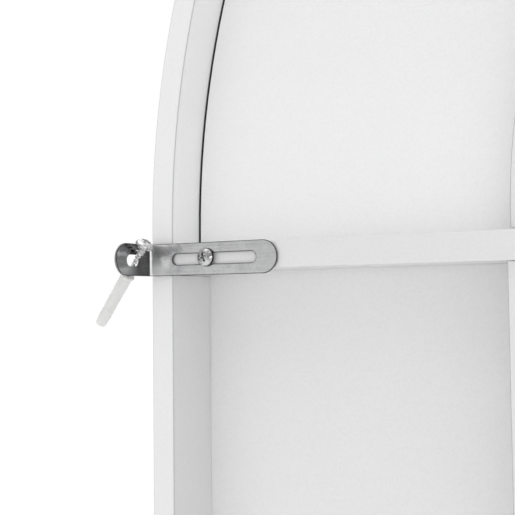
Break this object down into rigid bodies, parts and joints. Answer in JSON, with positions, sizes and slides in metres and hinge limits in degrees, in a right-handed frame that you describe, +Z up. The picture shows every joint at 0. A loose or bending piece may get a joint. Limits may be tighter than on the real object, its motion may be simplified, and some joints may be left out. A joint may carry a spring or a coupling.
{
  "type": "arched panel frame with angle brackets",
  "caption": "White arched panel frame with a cross rail, mullions, recessed panels and slotted steel angle brackets that screw to the wall beside it.",
  "frame": {"origin": "middle of the bottom rail's underside, half way through the frame's depth", "axes": "+Z up, +X to the right of someone looking at the face that the brackets lie on, that face looks along -Y"},
  "size_m": [0.933, 0.0668, 1.02],
  "materials": {
    "white_board": "satin white laminated board",
    "white_panel": "satin white panel",
    "beech": "plain fluted beech",
    "screw_steel": "bright zinc plate",
    "bracket_steel": "satin zinc plate",
    "cap_plastic": "white plastic",
    "plug_nylon": "translucent white nylon"
  },
  "bodies": {
    "frame": {"stile_left": "white_board", "stile_right": "white_board", "arch_left": "white_board", "arch_right": "white_board", "cross_rail": "white_board", "bottom_rail": "white_board", "mullion_left": "white_board", "mullion_right": "white_board", "inner_arch": "white_board", "ring_panel_left": "white_panel", "ring_panel_right": "white_panel", "centre_panel_upper": "white_panel", "centre_panel_lower": "white_panel", "side_panel_left": "white_panel", "side_panel_right": "white_panel", "stile_dowel_left": "beech", "stile_dowel_right": "beech", "rail_dowel_left": "beech", "rail_dowel_right": "beech", "base_dowel_left": "beech", "base_dowel_right": "beech", "mullion_top_dowel_left": "beech", "mullion_top_dowel_right": "beech", "mullion_foot_dowel_left": "beech", "mullion_foot_dowel_right": "beech", "arch_foot_dowel_left": "beech", "arch_foot_dowel_right": "beech", "crown_dowel": "beech", "ring_dowel_1_left": "beech", "ring_dowel_1_right": "beech", "ring_dowel_2_left": "beech", "ring_dowel_2_right": "beech", "ring_dowel_3_left": "beech", "ring_dowel_3_right": "beech", "rail_confirmat_left": "screw_steel", "rail_confirmat_right": "screw_steel", "base_confirmat_left": "screw_steel", "base_confirmat_right": "screw_steel", "rail_cap_left": "cap_plastic", "rail_cap_right": "cap_plastic", "base_cap_left": "cap_plastic", "base_cap_right": "cap_plastic"},
    "slot_screw_left": {"slot_screw_left": "screw_steel"},
    "bracket_left": {"bracket_left": "bracket_steel"},
    "wall_screw_left": {"wall_screw_left": "screw_steel"},
    "wall_plug_left": {"wall_plug_left": "plug_nylon"},
    "slot_screw_right": {"slot_screw_right": "screw_steel"},
    "bracket_right": {"bracket_right": "bracket_steel"},
    "wall_screw_right": {"wall_screw_right": "screw_steel"},
    "wall_plug_right": {"wall_plug_right": "plug_nylon"}
  },
  "joints": [
    {"name": "bracket_left_turn", "type": "hinge", "parent": "frame", "child": "slot_screw_left", "pos_m": [-0.408, -0.0215, 0.5666], "axis": [0, 1, 0], "range_deg": [-90, 90]},
    {"name": "bracket_left_slide", "type": "slide", "parent": "slot_screw_left", "child": "bracket_left", "axis": [1, 0, 0], "range_m": [-0.024, 0.017]},
    {"name": "wall_screw_left_swing", "type": "hinge", "parent": "bracket_left", "child": "wall_screw_left", "pos_m": [-0.4405, -0.0324, 0.5655], "axis": [0, 1, 0], "range_deg": [0, 45]},
    {"name": "wall_plug_left_pull", "type": "slide", "parent": "wall_screw_left", "child": "wall_plug_left", "axis": [-0.6302, 0.09, -0.7712], "range_m": [0, 0.012]},
    {"name": "bracket_right_turn", "type": "hinge", "parent": "frame", "child": "slot_screw_right", "pos_m": [0.408, -0.0215, 0.5666], "axis": [0, -1, 0], "range_deg": [-90, 90]},
    {"name": "bracket_right_slide", "type": "slide", "parent": "slot_screw_right", "child": "bracket_right", "axis": [-1, 0, 0], "range_m": [-0.024, 0.017]},
    {"name": "wall_screw_right_swing", "type": "hinge", "parent": "bracket_right", "child": "wall_screw_right", "pos_m": [0.4405, -0.0324, 0.5655], "axis": [0, -1, 0], "range_deg": [0, 45]},
    {"name": "wall_plug_right_pull", "type": "slide", "parent": "wall_screw_right", "child": "wall_plug_right", "axis": [0.6302, 0.09, -0.7712], "range_m": [0, 0.012]}
  ]
}
